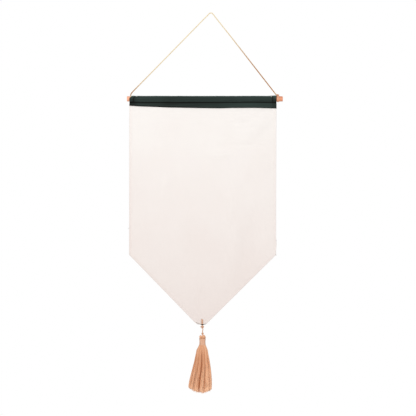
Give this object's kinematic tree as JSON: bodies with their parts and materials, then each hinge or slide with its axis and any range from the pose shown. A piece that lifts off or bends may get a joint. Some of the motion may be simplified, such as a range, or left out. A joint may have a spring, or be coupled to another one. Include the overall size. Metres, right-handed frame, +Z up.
{
  "type": "fabric wall banner with dowel",
  "caption": "Plain canvas pennant hung from a wooden dowel in a dark heading band, with a hanging cord over a wall hook and a yarn tassel at its pointed tip.",
  "frame": {"origin": "under the bend of the hanging cord, where the wall hook carries it", "axes": "+Z up, +X to the viewer's right along the dowel, -Y towards the viewer and +Y towards the wall"},
  "size_m": [0.318, 0.0303, 0.7739],
  "materials": {
    "canvas": "ivory cotton canvas, plain weave, matte",
    "heading_cloth": "dark green cotton, plain weave, matte",
    "wood": "pale salmon-toned wood, sanded",
    "cotton_cord": "twisted tan cotton cord",
    "tassel_cord": "twisted peach cotton cord",
    "yarn": "soft peach-brown cotton yarn",
    "binding_thread": "fine peach thread, slight sheen"
  },
  "bodies": {
    "root": {"canvas_panel": "canvas", "heading_band": "heading_cloth", "dowel": "wood", "hanging_cord": "cotton_cord", "cord_tie_left": "cotton_cord", "cord_tie_right": "cotton_cord", "tassel_hanger": "tassel_cord", "hanger_knot": "tassel_cord", "hanger_stem": "tassel_cord", "stem_knot": "tassel_cord", "tassel_yarn": "yarn", "tassel_binding": "binding_thread"}
  },
  "joints": []
}
